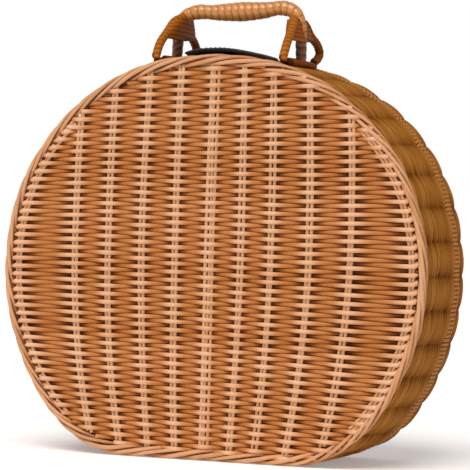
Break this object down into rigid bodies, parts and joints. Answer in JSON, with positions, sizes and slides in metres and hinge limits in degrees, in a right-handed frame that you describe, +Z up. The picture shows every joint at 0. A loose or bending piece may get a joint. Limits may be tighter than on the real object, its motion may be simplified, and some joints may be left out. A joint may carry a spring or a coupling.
{
  "type": "wicker picnic basket",
  "caption": "Round wicker picnic case: two woven halves hinged at the bottom, lapped rims, cane-wrapped carrying handle and a leather latch flap over the seam.",
  "frame": {"origin": "under the middle of the case, on the surface that it stands on", "axes": "+Z up, +X along the width of the round face, -Y out of the body's face, +Y out of the lid's face"},
  "size_m": [0.378, 0.128, 0.393],
  "materials": {
    "face_willow": "satin",
    "pale_willow": "satin",
    "wall_willow": "satin",
    "rim_cane": "satin",
    "handle_cane": "semi-gloss",
    "leather": "satin",
    "steel": "satin"
  },
  "bodies": {
    "basket_body": {"body_border": "pale_willow", "body_face_weave": "face_willow", "body_stake_1": "pale_willow", "body_stake_2": "pale_willow", "body_stake_3": "pale_willow", "body_stake_4": "pale_willow", "body_stake_5": "pale_willow", "body_stake_6": "pale_willow", "body_stake_7": "pale_willow", "body_stake_8": "pale_willow", "body_stake_9": "pale_willow", "body_edge_stake_left": "pale_willow", "body_edge_stake_right": "pale_willow", "body_wall_weave": "wall_willow", "body_rim_rod": "pale_willow", "body_rim_lapping": "rim_cane", "hinge_loop_left": "rim_cane", "hinge_loop_right": "rim_cane", "handle_bow": "handle_cane", "handle_grip_wrap": "handle_cane", "handle_left_front_leg": "handle_cane", "handle_left_back_leg": "handle_cane", "handle_left_leg_wrap": "handle_cane", "handle_left_foot_binding": "handle_cane", "handle_right_front_leg": "handle_cane", "handle_right_back_leg": "handle_cane", "handle_right_leg_wrap": "handle_cane", "handle_right_foot_binding": "handle_cane", "latch_patch": "leather", "latch_patch_magnet": "steel"},
    "basket_lid": {"lid_border": "pale_willow", "lid_face_weave": "face_willow", "lid_stake_1": "pale_willow", "lid_stake_2": "pale_willow", "lid_stake_3": "pale_willow", "lid_stake_4": "pale_willow", "lid_stake_5": "pale_willow", "lid_stake_6": "pale_willow", "lid_stake_7": "pale_willow", "lid_stake_8": "pale_willow", "lid_stake_9": "pale_willow", "lid_edge_stake_left": "pale_willow", "lid_edge_stake_right": "pale_willow", "lid_wall_weave": "wall_willow", "lid_rim_rod": "pale_willow", "lid_rim_lapping": "rim_cane", "latch_tab": "leather", "latch_rivet_left": "steel", "latch_rivet_right": "steel"},
    "latch_flap": {"latch_flap_leather": "leather", "latch_flap_lining": "leather", "latch_flap_magnet": "steel"}
  },
  "joints": [
    {"name": "lid_hinge", "type": "hinge", "parent": "basket_body", "child": "basket_lid", "pos_m": [0, 0.0359, 0.005], "axis": [-1, 0, 0], "range_deg": [0, 100]},
    {"name": "latch_fold", "type": "hinge", "parent": "basket_lid", "child": "latch_flap", "pos_m": [0, 0.039, 0.3465], "axis": [-1, 0, 0], "range_deg": [0, 24]}
  ]
}
